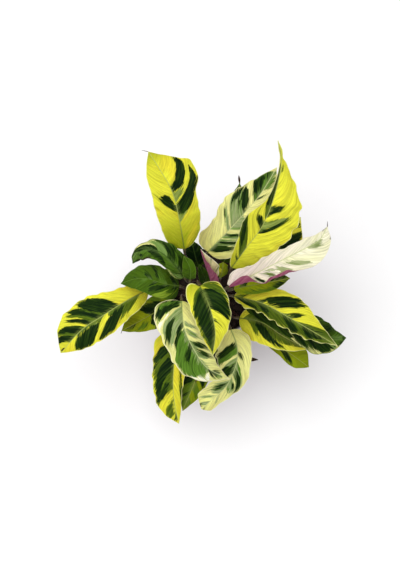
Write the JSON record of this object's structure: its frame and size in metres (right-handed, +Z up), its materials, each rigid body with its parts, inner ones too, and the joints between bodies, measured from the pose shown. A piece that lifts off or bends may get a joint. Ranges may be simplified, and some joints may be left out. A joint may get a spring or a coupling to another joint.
{
  "type": "potted calathea plant",
  "caption": "Bushy prayer plant with yellow, cream and dark green variegated leaves on slim stalks, rooted in soil in a plain round nursery pot.",
  "frame": {"origin": "centre of the pot's flat underside, on the surface it stands on", "axes": "+Z up along the pot's axis, +X to the viewer's right along the foliage's widest spread, +Y away from the viewer"},
  "size_m": [0.3687, 0.31, 0.3228],
  "materials": {
    "pot": "satin",
    "soil": "matte",
    "stalk": "satin",
    "leaf_yellow": "satin",
    "leaf_cream": "satin",
    "leaf_green": "satin",
    "leaf_dark": "satin",
    "leaf_purple": "satin",
    "leaf_dry": "matte"
  },
  "bodies": {
    "root": {"pot": "pot", "soil": "soil", "leaf_back_left": "leaf_yellow", "leaf_back_middle": "leaf_cream", "leaf_back_right": "leaf_yellow", "leaf_back_hidden": "leaf_green", "leaf_back_shaded": "leaf_dark", "leaf_right_shaded": "leaf_dark", "leaf_right_cream": "leaf_cream", "leaf_right_olive": "leaf_green", "leaf_right_upper": "leaf_yellow", "leaf_right_far": "leaf_dark", "leaf_right_lower": "leaf_yellow", "leaf_right_lowest": "leaf_green", "leaf_front_right": "leaf_cream", "leaf_front_cream": "leaf_cream", "leaf_front_top": "leaf_yellow", "leaf_front_low_yellow": "leaf_yellow", "leaf_front_low_green": "leaf_green", "leaf_left_long": "leaf_yellow", "leaf_left_low": "leaf_green", "leaf_left_green": "leaf_green", "leaf_left_arching": "leaf_dark", "leaf_inner_folded": "leaf_green", "leaf_inner_shaded": "leaf_dark", "leaf_inner_rolled": "leaf_purple", "leaf_inner_bud": "leaf_green", "leaf_dry_tip": "leaf_dry", "stalk_back_left": "stalk", "stalk_back_middle": "stalk", "stalk_back_right": "stalk", "stalk_back_hidden": "stalk", "stalk_back_shaded": "stalk", "stalk_right_shaded": "stalk", "stalk_right_cream": "stalk", "stalk_right_olive": "stalk", "stalk_right_upper": "stalk", "stalk_right_far": "stalk", "stalk_right_lower": "stalk", "stalk_right_lowest": "stalk", "stalk_front_right": "stalk", "stalk_front_cream": "stalk", "stalk_front_top": "stalk", "stalk_front_low_yellow": "stalk", "stalk_front_low_green": "stalk", "stalk_left_long": "stalk", "stalk_left_low": "stalk", "stalk_left_green": "stalk", "stalk_left_arching": "stalk", "stalk_inner_folded": "stalk", "stalk_inner_shaded": "stalk", "stalk_inner_rolled": "stalk", "stalk_inner_bud": "stalk", "stalk_dry_tip": "stalk"}
  },
  "joints": []
}
